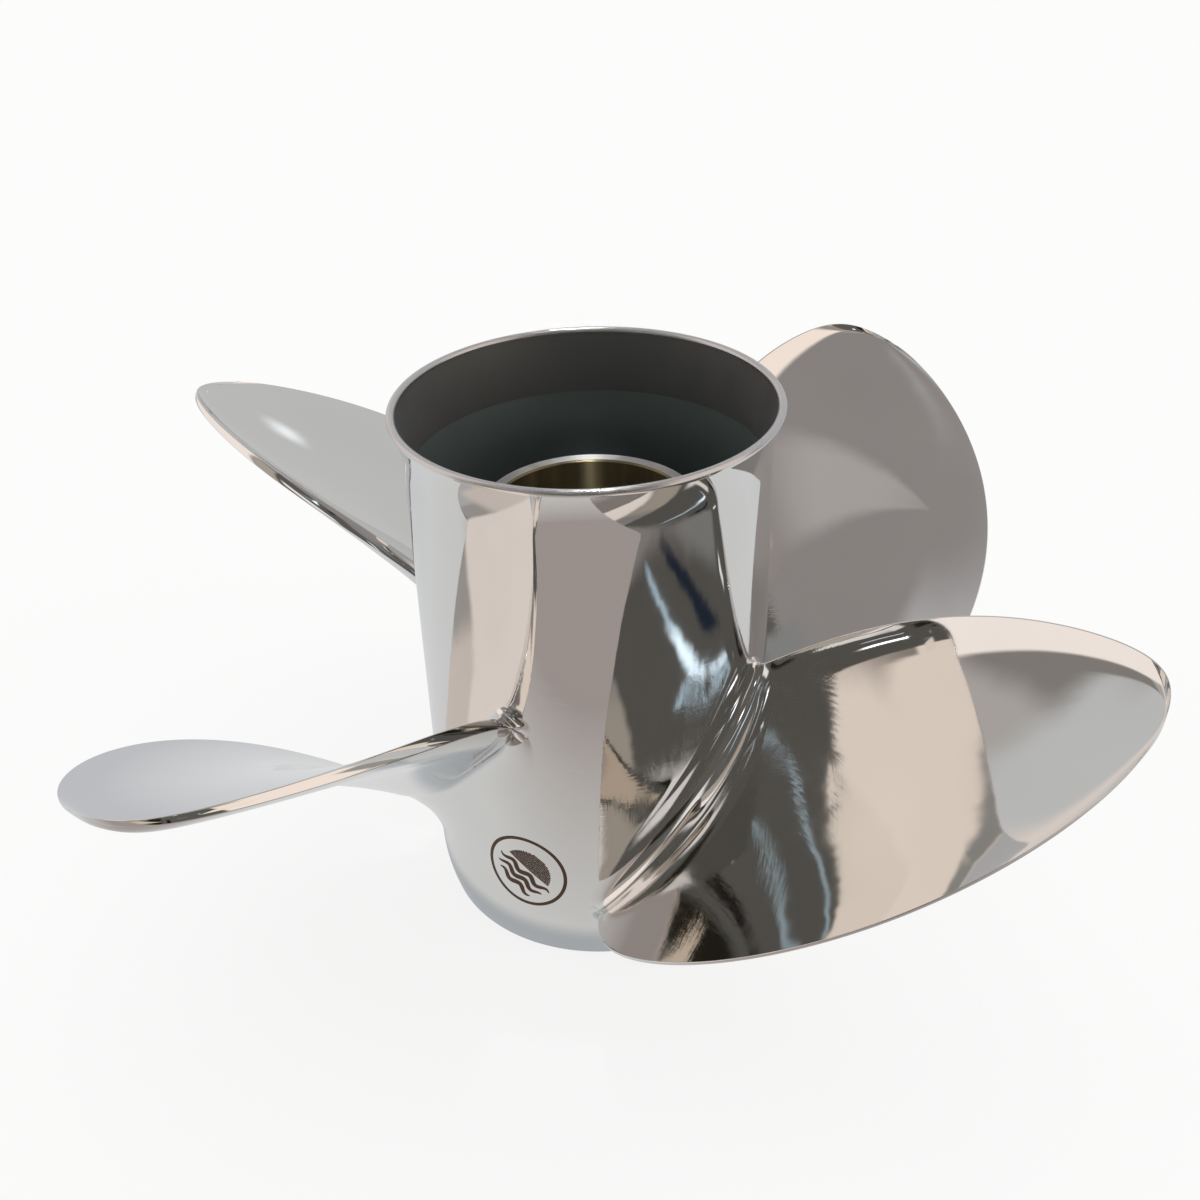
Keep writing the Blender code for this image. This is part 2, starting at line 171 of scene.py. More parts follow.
# What the steel mirrors: azimuth, half width, lowest and highest elevation in degrees, edge
# softness, lean of the sides in degrees for each degree of height, and radiance. Later ones
# lie over earlier ones.
CEILING = (0.31, 0.285, 0.275)
SURROUNDINGS = {
    "high_left": (135, 80, 58, 78, 8, 0, (0.53, 0.52, 0.53)),
    "backdrop": (70, 53, -90, 49, 6, 0, (0.61, 0.61, 0.61)),
    "corner": (131, 9.5, -90, 62, 3, 0, (0.48, 0.45, 0.425)),
    "corner_top": (131, 11, 40.5, 62, 2.2, 0, (0.26, 0.24, 0.222)),
    "left_low": (145, 42, -90, 26, 4, 0, (0.86, 0.76, 0.70)),
    "left_wall": (166, 27, -90, 61, 2.5, 0, (1.08, 0.97, 0.91)),
    "left_edge": (203, 9, -90, 47, 3, 0, (0.46, 0.41, 0.35)),
    "right_wall": (346, 34, -90, 62, 2, 0, (1.12, 0.97, 0.86)),
    "right_shelf": (317, 15, 35.5, 62, 5, 0, (0.36, 0.31, 0.27)),
    "right_edge": (12, 7, -90, 24, 2.5, 0, (0.37, 0.355, 0.335)),
    "camera_side": (260.5, 52.5, -90, 57, 1.5, 0, (0.125, 0.118, 0.108)),
    "left_window": (226, 14, 24, 34.5, 2, 0, (1, 0.95, 0.92)),
    "lit_corner": (268, 10, 49, 62, 4, 0, (0.27, 0.27, 0.265)),
    "dark_furniture": (253, 9, -90, 18, 3, 0, (0.02, 0.018, 0.012)),
    "dark_post": (270, 2.2, -90, 5, 1, 0, (0.015, 0.012, 0.01)),
    "right_doorway": (311.5, 12, 8.5, 21, 0.8, 0.9, (1.05, 0.92, 0.81)),
    "overhead": (332, 26, 68, 89, 7, 0, (0.47, 0.44, 0.425)),
    "window": (243.5, 1.7, 49.5, 56.5, 0.8, 1, (0.018, 0.026, 0.045)),
    "lamp_foot": (226, 1.3, 42.5, 45.5, 0.8, 2.3, (0.7, 0.9, 1.05)),
    "lamp_head": (236.3, 0.8, 50.5, 56, 0.8, 0.4, (0.65, 0.85, 1)),
    "lamp": (234.3, 1.5, 45.5, 51, 1.2, 0.3, (1.5, 1.8, 2.05)),
    "small_lamp": (279, 2.6, 35.5, 39, 1, 0, (4, 4.1, 4.3)),
    "tube_low": (285, 5, 7.5, 8.4, 0.5, 0, (0.42, 0.52, 0.58)),
    "tube_high": (300, 0.7, 10, 19, 0.6, 0, (0.42, 0.52, 0.58)),
    "tube_side": (260, 1.1, 34, 43, 0.6, 0, (1.2, 1.2, 1.25)),
    "back_lamp": (78, 1.2, 16.2, 17.8, 1.6, 0, (1.3, 1.35, 1.4)),
}

# What the steel mirrors of the floor: colours by depth, then round spots by centre, inner and outer radius.
# The first spot is a painted shadow, darker and bluer under the propeller.
FLOOR_BANDS = (
    (-0.60, (0.76, 0.61, 0.48)),
    (-0.45, (0.41, 0.36, 0.34)),
    (-0.20, (0.41, 0.36, 0.34)),
    (-0.06, (0.70, 0.70, 0.69)),
    (0.10, (0.72, 0.725, 0.735)),
    (0.34, (0.59, 0.605, 0.635)),
)
FLOOR_SPOTS_WITH_PAINTED_SHADOW = (
    # Painted shadow on the mirrored floor under the propeller
    ((0.0, 0.0), 0.058, 0.070, (0.46, 0.485, 0.505)),
    ((0.42, -0.42), 0.15, 0.28, (0.86, 0.82, 0.79)),
)

# Floor: the edges of its cells across and along, and the cells that the steel mirrors
TABLE_EDGES = ((-8.0, -2.5, -0.9, -0.38, 0.9, 8.0), (-8.0, -2.5, -0.52, 0.9, 8.0))
TABLE_CELLS = ((1, 1), (2, 1), (2, 2), (3, 2))
FLOOR_LEVEL = -0.2 * MM
FLOOR_SHADE = 0.13
FLOOR_GLOW = 0.94

# Lights: a wide one overhead that the steel doesn't mirror, then two that reach only into the
# open barrel, by name, place, width at the target, energy and softness
SKY_ENERGY = 1.9
SKY_WIDTH = 100.0
SKY_TILT = (-12.0, 8.0)
BARREL_LIGHT = ("barrel_light", (0.03, 0.12, 1.0), 0.047, 26.0, 0.05)
BORE_LIGHT = ("bore_light", (0.0, -0.45, 0.50), 0.014, 3.0, 0.006)
BORE_LIGHT_DROP = 4.0 * MM
SPOT_BLEND = 0.25

# Photograph's view
CAMERA_PLACE = Vector((0.0, -0.4093, 0.3592))
CAMERA_TARGET = Vector((0.0021, 0.0, 0.1056))
CAMERA_ROLL = 2.0
CAMERA_LENS = 43.9
SENSOR_WIDTH = 36.0
CLIP_START, CLIP_END = 0.01, 50.0


def length(name, value, text):
    """A length that the sidebar shows in the scene's unit."""
    return FloatProperty(
        name=name, description=text, default=value, min=0.0, subtype="DISTANCE", unit="LENGTH"
    )


def tint(name, value, text):
    """A colour that the sidebar shows as a swatch."""
    return FloatVectorProperty(
        name=name, description=text, default=value, size=3, min=0.0, max=1.0, subtype="COLOR"
    )


class PropellerSizes(bpy.types.PropertyGroup):
    """Sizes that a user would change on the finished surfaces."""

    barrel_bore: length("Barrel Bore", 53.0 * MM, "Inner radius of the barrel")
    nose_bore: length("Nose Bore", 50.5 * MM, "Inner radius of the barrel's forward lip")
    rim_bore: length("Rim Bore", 58.0 * MM, "Inner radius of the flared ring at its rim")
    hub_bore: length("Hub Bore", 30.5 * MM, "Inner radius of the inner hub")
    hub_chamfer: length("Hub Chamfer", 0.6 * MM, "Chamfer on the inner hub's end edges")
    root_thickness: length("Root Thickness", 7.8 * MM, "Thickest part of a blade at its root")
    tip_thickness: length("Tip Thickness", 2.6 * MM, "Thickest part of a blade at its tip")
    trailing_root: length("Trailing Edge Root", 5.4 * MM, "Trailing edge thickness at the root")
    trailing_tip: length("Trailing Edge Tip", 2.4 * MM, "Trailing edge thickness at the tip")
    cup_depth: length("Cup Depth", 2.0 * MM, "How far the trailing edge curls aft")
    aft_fillet: length("Aft Fillet", 11.0 * MM, "Root fillet on the blade's aft face")
    forward_fillet: length("Forward Fillet", 14.0 * MM, "Root fillet on the blade's forward face")
    edge_fillet: length("Edge Fillet", 4.5 * MM, "Root fillet round the blade's two edges")
    round_steps: IntProperty(
        name="Round Steps", description="Steps in one turn", default=240, min=24, max=512
    )


class PropellerColors(bpy.types.PropertyGroup):
    """Colours of the finishes."""

    steel: tint("Polished Steel", (0.78, 0.775, 0.765), "Reflection colour of the polished steel")
    machined: tint("Machined Steel", (0.62, 0.62, 0.61), "Turned face of the inner hub")
    lip: tint("Ring Lip", (0.56, 0.56, 0.57), "Rounded lip of the flared ring")
    bore: tint("Hub Bore", (0.20, 0.17, 0.10), "Brown tint inside the inner hub")
    cast_upper: tint("Ring Inside", (0.116, 0.120, 0.118), "Inside of the flared ring")
    cast_lower: tint("Barrel Inside", (0.098, 0.124, 0.124), "Inside of the barrel")
    etched: tint("Etched Mark", (0.085, 0.042, 0.018), "Burnt brown of the etched mark")
    rubber: tint("Rubber", (0.018, 0.018, 0.018), "Rubber of the hub bushing")
    brass: tint("Brass", (0.60, 0.43, 0.18), "Brass of the drive sleeve")
    floor: tint("Floor", (0.90, 0.90, 0.90), "Studio floor")


def sizes():
    return bpy.context.scene.propeller_sizes


def colors():
    return bpy.context.scene.propeller_colors


def add_object(name, data):
    """A new object of the scene."""
    item = bpy.data.objects.new(name, data)
    bpy.context.scene.collection.objects.link(item)
    return item


def finish_mesh(mesh, material, nodes, sharp=35.0):
    """Link a piece, let it ride with the propeller, and hide the parts that it stands in for."""
    mesh.shade_smooth()
    mesh.set_sharp_from_angle(angle=math.radians(sharp))
    mesh.materials.append(material)
    piece = add_object(mesh.name, mesh)
    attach(piece, "root")
    if nodes:
        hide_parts(*nodes)
    return piece


def root_lines():
    """Points along the four lines where the blades leave the barrel."""
    turns = np.radians(np.linspace(LEADING_ANGLES[0], TRAILING_ANGLES[0], 60))
    heights = TRAILING_HEIGHT + ROOT_PITCH * turns / math.tau
    lines = []
    for index in range(len(BLADE_NODES)):
        angles = turns + math.radians(BLADE_START_ANGLE) + math.tau * index / len(BLADE_NODES)
        across, along = BARREL_RADIUS * np.cos(angles), BARREL_RADIUS * np.sin(angles)
        lines.append(np.stack([across, along, heights], -1))
    return np.concatenate(lines)


def mark_near_root(mesh):
    """Store how near each point is to a blade root, where polishing by hand left its marks."""
    flat = np.empty(3 * len(mesh.vertices))
    mesh.vertices.foreach_get("co", flat)
    points, lines = flat.reshape(-1, 3), root_lines()
    nearest = np.full(len(points), 1.0)
    for place in lines:
        nearest = np.minimum(nearest, np.linalg.norm(points - place, axis=1))
    share = np.clip((MARKED_REACH - nearest) / (MARKED_REACH - MARKED_CORE), 0.0, 1.0)
    layer = mesh.attributes.new("near_root", "FLOAT", "POINT")
    layer.data.foreach_set("value", (share * share * (3.0 - 2.0 * share)).astype(np.float32))


def mesh_from(name, points, faces):
    """A mesh whose equal points are welded and whose faces point out."""
    mesh = bpy.data.meshes.new(name)
    mesh.from_pydata([tuple(point) for point in points], [], faces)
    shape = bmesh.new()
    shape.from_mesh(mesh)
    bmesh.ops.remove_doubles(shape, verts=shape.verts, dist=WELD_DISTANCE)
    bmesh.ops.recalc_face_normals(shape, faces=shape.faces)
    shape.to_mesh(mesh)
    shape.free()
    return mesh


def band_faces(rows, count, first=0, closed=False):
    """The faces between rows of points that each run once round."""
    faces = []
    for row in range(rows if closed else rows - 1):
        near, far = first + row * count, first + (row + 1) % rows * count
        for i in range(count):
            j = (i + 1) % count
            faces.append((near + i, near + j, far + j, far + i))
    return faces


def turned_mesh(name, profile, steps):
    """A closed profile of (radius, height) points, turned about Z."""
    angles = np.linspace(0.0, math.tau, steps, endpoint=False)
    points = [(r * math.cos(a), r * math.sin(a), z) for a in angles for r, z in profile]
    return mesh_from(name, points, band_faces(steps, len(profile), closed=True))


def arc(center, radius, start, end, count):
    """Points of an arc in the profile's plane, angles in degrees."""
    turns = [math.radians(angle) for angle in np.linspace(start, end, count)]
    return [(center[0] + radius * math.cos(turn), center[1] + radius * math.sin(turn)) for turn in turns]


def barrel_surface(height):
    """Outer radius of the barrel: a cylinder that draws in at the forward end."""
    share = np.clip(1.0 - np.asarray(height) / NOSE_LENGTH, 0.0, 1.0)
    return BARREL_RADIUS - NOSE_DROP * share ** 2


def barrel_profile():
    """The barrel's outside down to its drawn-in nose, then its bore back up."""
    values = sizes()
    top, edge, lip_edge = RING_LOW.z, NOSE_EDGE, NOSE_LIP_EDGE
    outer = [(BARREL_RADIUS, height) for height in np.linspace(top, NOSE_LENGTH, 24)]
    nose = np.linspace(NOSE_LENGTH, edge, 14)[1:]
    outer += [(float(barrel_surface(height)), height) for height in nose]
    corner = arc((float(barrel_surface(edge)) - edge, edge), edge, -10.0, -90.0, 7)
    lip = values.nose_bore
    inner = arc((lip + lip_edge, lip_edge), lip_edge, 270.0, 180.0, 5)
    inner += [(lip, NOSE_LIP_LENGTH), (values.barrel_bore, NOSE_LIP_LENGTH + NOSE_LIP_SLOPE)]
    taper = np.linspace(0.0, 1.0, 10)
    rise = RING_JOINT_BORE - values.barrel_bore
    start = top - BORE_TAPER_LENGTH
    inner += [(values.barrel_bore + rise * t * t, start + BORE_TAPER_LENGTH * t) for t in taper]
    return outer + corner + inner


def flare_radius(height, top):
    """Outer radius of the ring, which widens towards its rim."""
    rise = np.clip((height - FLARE_START) / (top - FLARE_START), 0.0, 1.0)
    return BARREL_RADIUS + (RING_HIGH.x - BARREL_RADIUS) * rise ** 2


def ring_profile():
    """The ring's outside down from the rim, its bore back up, and a round bead on top."""
    values = sizes()
    bead = 0.5 * (RING_HIGH.x - values.rim_bore)
    top = RING_HIGH.z - bead
    outer = [(float(flare_radius(height, top)), height) for height in np.linspace(top, FLARE_START, 18)]
    outer += [(BARREL_RADIUS, height) for height in np.linspace(FLARE_START, RING_LOW.z, 4)[1:]]
    bore = []
    for share in np.linspace(0.0, 1.0, 16):
        radius = RING_JOINT_BORE + (values.rim_bore - RING_JOINT_BORE) * share ** RING_CURVE
        bore.append((radius, RING_LOW.z + (top - RING_LOW.z) * share))
    return outer + bore + arc((RING_HIGH.x - bead, top), bead, 180.0, 0.0, 17)[1:-1]


def through_stations(values, station):
    """The smooth curve through the five edge stations, read at one station."""
    total = 0.0
    for i, value in enumerate(values):
        weight = 1.0
        for j, other in enumerate(EDGE_STATIONS):
            if j != i:
                weight *= (station - other) / (EDGE_STATIONS[i] - other)
        total += weight * value
    return total


def station_of(radius):
    """Share of the span at a radius, 0 on the helix and 1 at the tip, finer towards the tip."""
    share = (radius - HELIX_RADIUS) / (TIP_RADIUS - HELIX_RADIUS)
    return 1.0 - math.sqrt(max(0.0, 1.0 - share))


def radius_of(station):
    return HELIX_RADIUS + (TIP_RADIUS - HELIX_RADIUS) * (1.0 - (1.0 - station) ** 2)


def fillet_reach(height, fillet):
    """How far a root fillet stands out from the blade at this height over the barrel."""
    left = np.clip(fillet - max(height, 0.0), 0.0, None)
    return fillet - np.sqrt(np.maximum(fillet ** 2 - left ** 2, 0.0))


def ground_ripple(height, chord, fillet):
    """Shallow hollows that grinding by hand left along a root fillet."""
    if not 0.0 < height < RIPPLE_FADE * fillet:
        return 0.0
    turn = math.acos(max(0.0, 1.0 - height / fillet))
    wander = sum(size * np.sin(rate * chord) for size, rate in RIPPLE_WANDER)
    phase = math.tau * fillet * turn / RIPPLE_LENGTH + wander
    fade = math.sin(math.pi * height / (RIPPLE_FADE * fillet)) ** 2
    return RIPPLE_DEPTH * fade * np.sin(phase)


def blade_thickness(chord, reach):
    """Thickness across a section: its two edges, and a swell between them."""
    values = sizes()
    trailing = values.trailing_root + (values.trailing_tip - values.trailing_root) * reach
    most = values.root_thickness + (values.tip_thickness - values.root_thickness) * reach
    swell = max(0.0, most - 0.5 * (trailing + LEADING_THICKNESS))
    return trailing + (LEADING_THICKNESS - trailing) * chord + swell * np.sin(math.pi * chord)


def tip_thinning(station):
    """Falls from 1 to 0 over the last of the span, as a round end does."""
    beyond = max(0.0, station - TIP_ROUND_STATION) / (1.0 - TIP_ROUND_STATION)
    return math.sqrt(1.0 - beyond ** 2)


def blade_section(radius):
    """One closed section: the aft face, the leading edge, the forward face, the trailing edge.

    Each part is an array of (arc length, height) on the unrolled cylinder of this radius.
    """
    values = sizes()
    station = station_of(radius)
    reach = (radius - HELIX_RADIUS) / (TIP_RADIUS - HELIX_RADIUS)
    thinning = tip_thinning(station)
    trailing = math.radians(through_stations(TRAILING_ANGLES, station)) * radius
    leading = math.radians(through_stations(LEADING_ANGLES, station)) * radius
    pitch = ROOT_PITCH + PITCH_FALL * reach + PITCH_RECOVERY * reach ** 2
    slope = pitch / (math.tau * radius)
    rake = RAKE[0] * reach + RAKE[1] * reach ** 2 + RAKE[2] * reach ** 3
    along = np.array((1.0, slope)) / math.hypot(1.0, slope)
    normal = np.array((-along[1], along[0]))
    half_trailing = 0.5 * float(blade_thickness(0.0, reach)) * thinning
    half_leading = 0.5 * float(blade_thickness(1.0, reach)) * thinning
    corner = min(TRAILING_CORNER, CORNER_LIMIT * half_trailing)
    start = trailing - (corner + TRAILING_CROWN * thinning) * along[0]
    end = leading + half_leading * along[0]
    height = radius - BARREL_RADIUS

    def aft_points(chord):
        line = start + (end - start) * chord
        curl = 1.0 - np.maximum(0.0, 1.0 - chord / CUP_LENGTH) ** 2
        cup = values.cup_depth * curl * (1.0 - chord) ** 2
        base = np.stack([line, TRAILING_HEIGHT + rake + slope * line], -1)
        hollow = FACE_HOLLOW * 4.0 * chord * (1.0 - chord)
        return base - normal * (thinning * (cup + hollow))[:, None]

    def flare(chord, fillet):
        share = np.sqrt(np.maximum(0.0, 4.0 * chord * (1.0 - chord)))
        reach_out = fillet_reach(height, values.edge_fillet + (fillet - values.edge_fillet) * share)
        return reach_out + ground_ripple(height, chord, fillet) * share

    def round_edge(aft_point, forward_point, outward, corner_radius, crown):
        turns = math.pi * np.arange(1, ARC_POINTS + 1) / (ARC_POINTS + 1)
        across, beyond = np.cos(turns), np.sin(turns)
        middle, side = 0.5 * (aft_point + forward_point), 0.5 * (aft_point - forward_point)
        half = float(np.linalg.norm(side))
        rounding = corner_radius + fillet_reach(height, values.edge_fillet)
        rounded = min(rounding / half, 1.0)
        flat = (1.0 - rounded) * np.sign(np.round(across, 6))
        aside = side * (flat + across * rounded)[:, None]
        return middle + aside + outward * (crown * (1.0 - flat ** 2) + beyond * rounding)[:, None]

    chords = 0.5 - 0.5 * np.cos(math.pi * np.linspace(0.0, 1.0, FACE_POINTS))
    recess = TRAILING_BEVEL * 2.0 * (half_trailing - corner) * along[0] / (start - end)
    aft_chords = recess + (1.0 - recess) * chords
    aft = aft_points(aft_chords) + normal * flare(aft_chords, values.aft_fillet)[:, None]
    depth = blade_thickness(chords, reach) * thinning + flare(chords, values.forward_fillet)
    forward = aft_points(chords) - normal * depth[:, None]
    leading_edge = round_edge(aft[-1], forward[-1], -along, half_leading, 0.0)
    trailing_edge = round_edge(aft[0], forward[0], along, corner, TRAILING_CROWN * thinning)
    return aft, leading_edge, forward[::-1], trailing_edge[::-1]


def wrap(points, radius, turn):
    """Roll unrolled points back on to their cylinder, drawn in near the root as the nose is."""
    angle = turn + points[:, 0] / radius
    near_root = max(0.0, 1.0 - (radius - BARREL_RADIUS) / sizes().forward_fillet)
    drop = BARREL_RADIUS - barrel_surface(np.maximum(points[:, 1], 0.0))
    reach = radius - drop * near_root
    return np.stack([reach * np.cos(angle), reach * np.sin(angle), points[:, 1]], -1)


def blade_radii():
    """Section radii: round the root fillet, then out to the tip."""
    fillet = sizes().forward_fillet
    turns = 0.5 * math.pi * (np.arange(FILLET_STEPS) / FILLET_STEPS) ** FILLET_CROWDING
    radii = [BARREL_RADIUS - ROOT_SUNK]
    radii += [BARREL_RADIUS + fillet * (1.0 - math.cos(turn)) for turn in turns]
    stations = np.linspace(station_of(BARREL_RADIUS + fillet), LAST_STATION, SPAN_STEPS)
    return radii + [radius_of(float(station)) for station in stations]


def blade_mesh(name, index):
    """A fine loft between the sections, closed at the root and the tip."""
    turn = math.radians(BLADE_START_ANGLE) + math.tau * index / len(BLADE_NODES)
    radii = blade_radii()
    rings = [wrap(np.concatenate(blade_section(radius)), radius, turn) for radius in radii]
    points = np.concatenate(rings).tolist()
    faces = band_faces(len(rings), len(rings[0]))
    for row in (0, len(radii) - 1):
        add_cap(points, faces, row, radii[row], turn)
    return mesh_from(name, points, faces)


def add_cap(points, faces, row, radius, turn):
    """Close one end of a blade with a grid that lies on its cylinder."""
    aft, _, forward, _ = blade_section(radius)
    forward = forward[::-1]
    base = row * 2 * (FACE_POINTS + ARC_POINTS)
    back = base + FACE_POINTS + ARC_POINTS
    last = base + 2 * (FACE_POINTS + ARC_POINTS) - 1
    columns = [[base] + [last - k for k in range(ARC_POINTS)] + [back + FACE_POINTS - 1]]
    for i in range(FACE_POINTS):
        column = [base + i]
        for step in range(1, ARC_POINTS + 1):
            share = step / (ARC_POINTS + 1)
            flat = (aft[i] * (1.0 - share) + forward[i] * share)[None]
            column.append(len(points))
            points.append(wrap(flat, radius, turn)[0].tolist())
        column.append(back + FACE_POINTS - 1 - i)
        columns.append(column)
    edge = [base + FACE_POINTS + k for k in range(ARC_POINTS)]
    columns.append([base + FACE_POINTS - 1] + edge + [back])
    for left, right in zip(columns, columns[1:]):
        for i in range(ARC_POINTS + 1):
            corners = dict.fromkeys((left[i], right[i], right[i + 1], left[i + 1]))
            if len(corners) > 2:
                faces.append(tuple(corners))


def set_inputs(tree, node, inputs):
    """Each input is linked to a socket, or set to a number, a vector or a colour."""
    for name, value in inputs.items():
        socket = node.inputs[name]
        if isinstance(value, bpy.types.NodeSocket):
            tree.links.new(value, socket)
        elif socket.type == "RGBA":
            socket.default_value = (*value, 1.0)
        else:
            socket.default_value = value


def add_node(tree, kind, inputs=None, **settings):
    """A new shader node of a kind, with its inputs and its settings."""
    node = tree.nodes.new(f"ShaderNode{kind}")
    for name, value in settings.items():
        setattr(node, name, value)
    set_inputs(tree, node, inputs or {})
    return node


def new_material(name, metallic):
    """A new material, its node tree and its Principled shader."""
    material = bpy.data.materials.new(name)
    material.use_nodes = True
    tree = material.node_tree
    shader = tree.nodes["Principled BSDF"]
    shader.inputs["Metallic"].default_value = metallic
    return material, tree, shader


def coordinates(tree, kind):
    """Texture coordinates, as one vector and split in three."""
    place = add_node(tree, "TexCoord").outputs[kind]
    return place, add_node(tree, "SeparateXYZ", {"Vector": place}).outputs


def noise(tree, scale, detail, stretch=(1.0, 1.0, 1.0)):
    """Noise in the object's own metres, finer where the scale is higher."""
    place = add_node(tree, "TexCoord").outputs["Object"]
    stretched = add_node(tree, "Mapping", {"Vector": place, "Scale": stretch}).outputs["Vector"]
    inputs = {"Vector": stretched, "Scale": scale, "Detail": detail}
    return add_node(tree, "TexNoise", inputs).outputs["Fac"]


def spread(tree, value, low, high, start=0.3, end=0.7, interpolation="LINEAR"):
    """A value from start to end becomes one from low to high."""
    inputs = {"Value": value, "From Min": start, "From Max": end, "To Min": low, "To Max": high}
    return add_node(tree, "MapRange", inputs, interpolation_type=interpolation).outputs["Result"]


def smooth_step(tree, value, start, end):
    """Goes smoothly from 0 at start to 1 at end, whichever of the two is higher."""
    low, high = (1.0, 0.0) if start > end else (0.0, 1.0)
    return spread(tree, value, low, high, min(start, end), max(start, end), "SMOOTHSTEP")


def math_node(tree, operation, *values):
    """A maths node whose inputs are sockets or plain numbers."""
    return add_node(tree, "Math", dict(enumerate(values)), operation=operation).outputs["Value"]


def mix_colors(tree, share, first, second):
    """From the first colour to the second; each is a socket or a plain colour."""
    return add_node(tree, "Mix", {0: share, 6: first, 7: second}, data_type="RGBA").outputs[2]


def bump(tree, shader, height, depth, under=None):
    """Adds relief of a real depth, on top of relief that is there already."""
    inputs = {"Height": height, "Distance": depth, "Strength": 1.0}
    if under is not None:
        inputs["Normal"] = under
    relief = add_node(tree, "Bump", inputs).outputs["Normal"]
    set_inputs(tree, shader, {"Normal": relief})
    return relief


def shade(color, factor):
    """A lighter or darker shade of a colour."""
    return tuple(min(1.0, channel * factor) for channel in color)


def vary_color(tree, shader, share, color, darker, lighter):
    """Let the base colour wander between two shades of one colour."""
    mixed = mix_colors(tree, share, shade(color, darker), shade(color, lighter))
    set_inputs(tree, shader, {"Base Color": mixed})


def vary_roughness(tree, shader, share, low, high):
    """Let the roughness wander between two values."""
    set_inputs(tree, shader, {"Roughness": spread(tree, share, low, high)})


def polished_steel():
    """Mirror polish: hand-buffed waves, and marks of the polishing wheel near the roots."""
    material, tree, shader = new_material(MIRROR_STEEL, metallic=1.0)
    near_root = add_node(tree, "Attribute", attribute_name="near_root").outputs["Fac"]
    vary_color(tree, shader, noise(tree, scale=26.0, detail=1.0), colors().steel, darker=0.95, lighter=1.03)
    haze = spread(tree, noise(tree, scale=60.0, detail=2.0), low=0.022, high=0.055)
    patchy = smooth_step(tree, noise(tree, scale=45.0, detail=2.0), start=0.38, end=0.52)
    patches = math_node(tree, "MULTIPLY", near_root, patchy)
    scuffs = noise(tree, scale=420.0, detail=2.0, stretch=(1.0, 1.0, 0.3))
    worn = math_node(tree, "MULTIPLY", patches, spread(tree, scuffs, low=0.0, high=0.10))
    set_inputs(tree, shader, {"Roughness": math_node(tree, "ADD", haze, worn)})
    wave = bump(tree, shader, noise(tree, scale=40.0, detail=1.0), depth=WAVE_RELIEF)
    buffed = bump(tree, shader, noise(tree, scale=130.0, detail=1.0), depth=BUFFED_RELIEF, under=wave)
    swirl = math_node(tree, "MULTIPLY", near_root, noise(tree, scale=95.0, detail=1.0))
    ground = bump(tree, shader, swirl, depth=SWIRL_RELIEF, under=buffed)
    upright = noise(tree, scale=1300.0, detail=2.0, stretch=(1.0, 1.0, 0.12))
    level = noise(tree, scale=1100.0, detail=2.0, stretch=(0.22, 0.22, 1.0))
    beside = math_node(tree, "MULTIPLY", patches, math_node(tree, "SUBTRACT", 1.0, near_root))
    strokes = math_node(tree, "MULTIPLY", beside, math_node(tree, "ADD", upright, level))
    bump(tree, shader, strokes, depth=STROKE_RELIEF, under=ground)
    return material


def cast_skin(name, color, lighter, roughness):
    """Dark cast skin that was never polished, with a fine grain and pale rubs."""
    material, tree, shader = new_material(name, metallic=0.75)
    blotch = noise(tree, scale=70.0, detail=5.0, stretch=(1.0, 1.0, 0.5))
    vary_color(tree, shader, blotch, color, darker=0.8, lighter=lighter)
    vary_roughness(tree, shader, blotch, roughness, roughness + 0.14)
    grain = bump(tree, shader, noise(tree, scale=1500.0, detail=3.0), depth=0.03 * MM)
    bump(tree, shader, noise(tree, scale=160.0, detail=3.0), depth=0.10 * MM, under=grain)
    return material


def turned_steel(name, color, roughness, grooved, patchy):
    """A lathe-turned finish: rings round the axis on flat ends, fine steps along bores. Its colour wanders
    along stretched noise, a light stain where patchy is small; where patchy is large, as on the hub's bore,
    the streaks are painted bands of reflection.
    """
    material, tree, shader = new_material(name, metallic=0.9)
    along = add_node(tree, "Tangent", direction_type="RADIAL", axis="Z").outputs["Tangent"]
    set_inputs(tree, shader, {"Anisotropic": grooved, "Anisotropic Rotation": 0.25, "Tangent": along})
    inputs = {"Vector": add_node(tree, "TexCoord").outputs["Object"], "Scale": 900.0, "Distortion": 0.6}
    rings = add_node(tree, "TexWave", inputs, wave_type="RINGS", rings_direction="Z")
    # Colour streaks: a light stain on the lip and the hub's face; on the hub's bore, with a large patchy
    # share, painted bands of reflection
    stain = noise(tree, scale=140.0, detail=3.0, stretch=(1.0, 1.0, 0.1))
    vary_color(tree, shader, stain, color, 1.0 - patchy, 1.0 + patchy)
    vary_roughness(tree, shader, stain, roughness, roughness + 0.10)
    fine = bump(tree, shader, rings.outputs["Fac"], depth=0.004 * MM)
    steps = noise(tree, scale=700.0, detail=2.0, stretch=(0.05, 0.05, 1.0))
    bump(tree, shader, steps, depth=0.006 * MM, under=fine)
    return material


def moulded_rubber():
    """Black rubber with a little dust."""
    material, tree, shader = new_material("moulded_rubber", metallic=0.0)
    dust = noise(tree, scale=120.0, detail=5.0)
    vary_color(tree, shader, dust, colors().rubber, darker=1.0, lighter=2.2)
    vary_roughness(tree, shader, dust, low=0.62, high=0.82)
    bump(tree, shader, noise(tree, scale=1200.0, detail=3.0), depth=0.04 * MM)
    return material


def machined_brass():
    """Brass with fine turning marks and a light stain."""
    material, tree, shader = new_material("machined_brass", metallic=1.0)
    stain = noise(tree, scale=110.0, detail=4.0)
    vary_color(tree, shader, stain, colors().brass, darker=0.78, lighter=1.1)
    vary_roughness(tree, shader, stain, low=0.24, high=0.40)
    bump(tree, shader, noise(tree, scale=800.0, detail=2.0, stretch=(1.0, 1.0, 0.06)), depth=0.006 * MM)
    return material


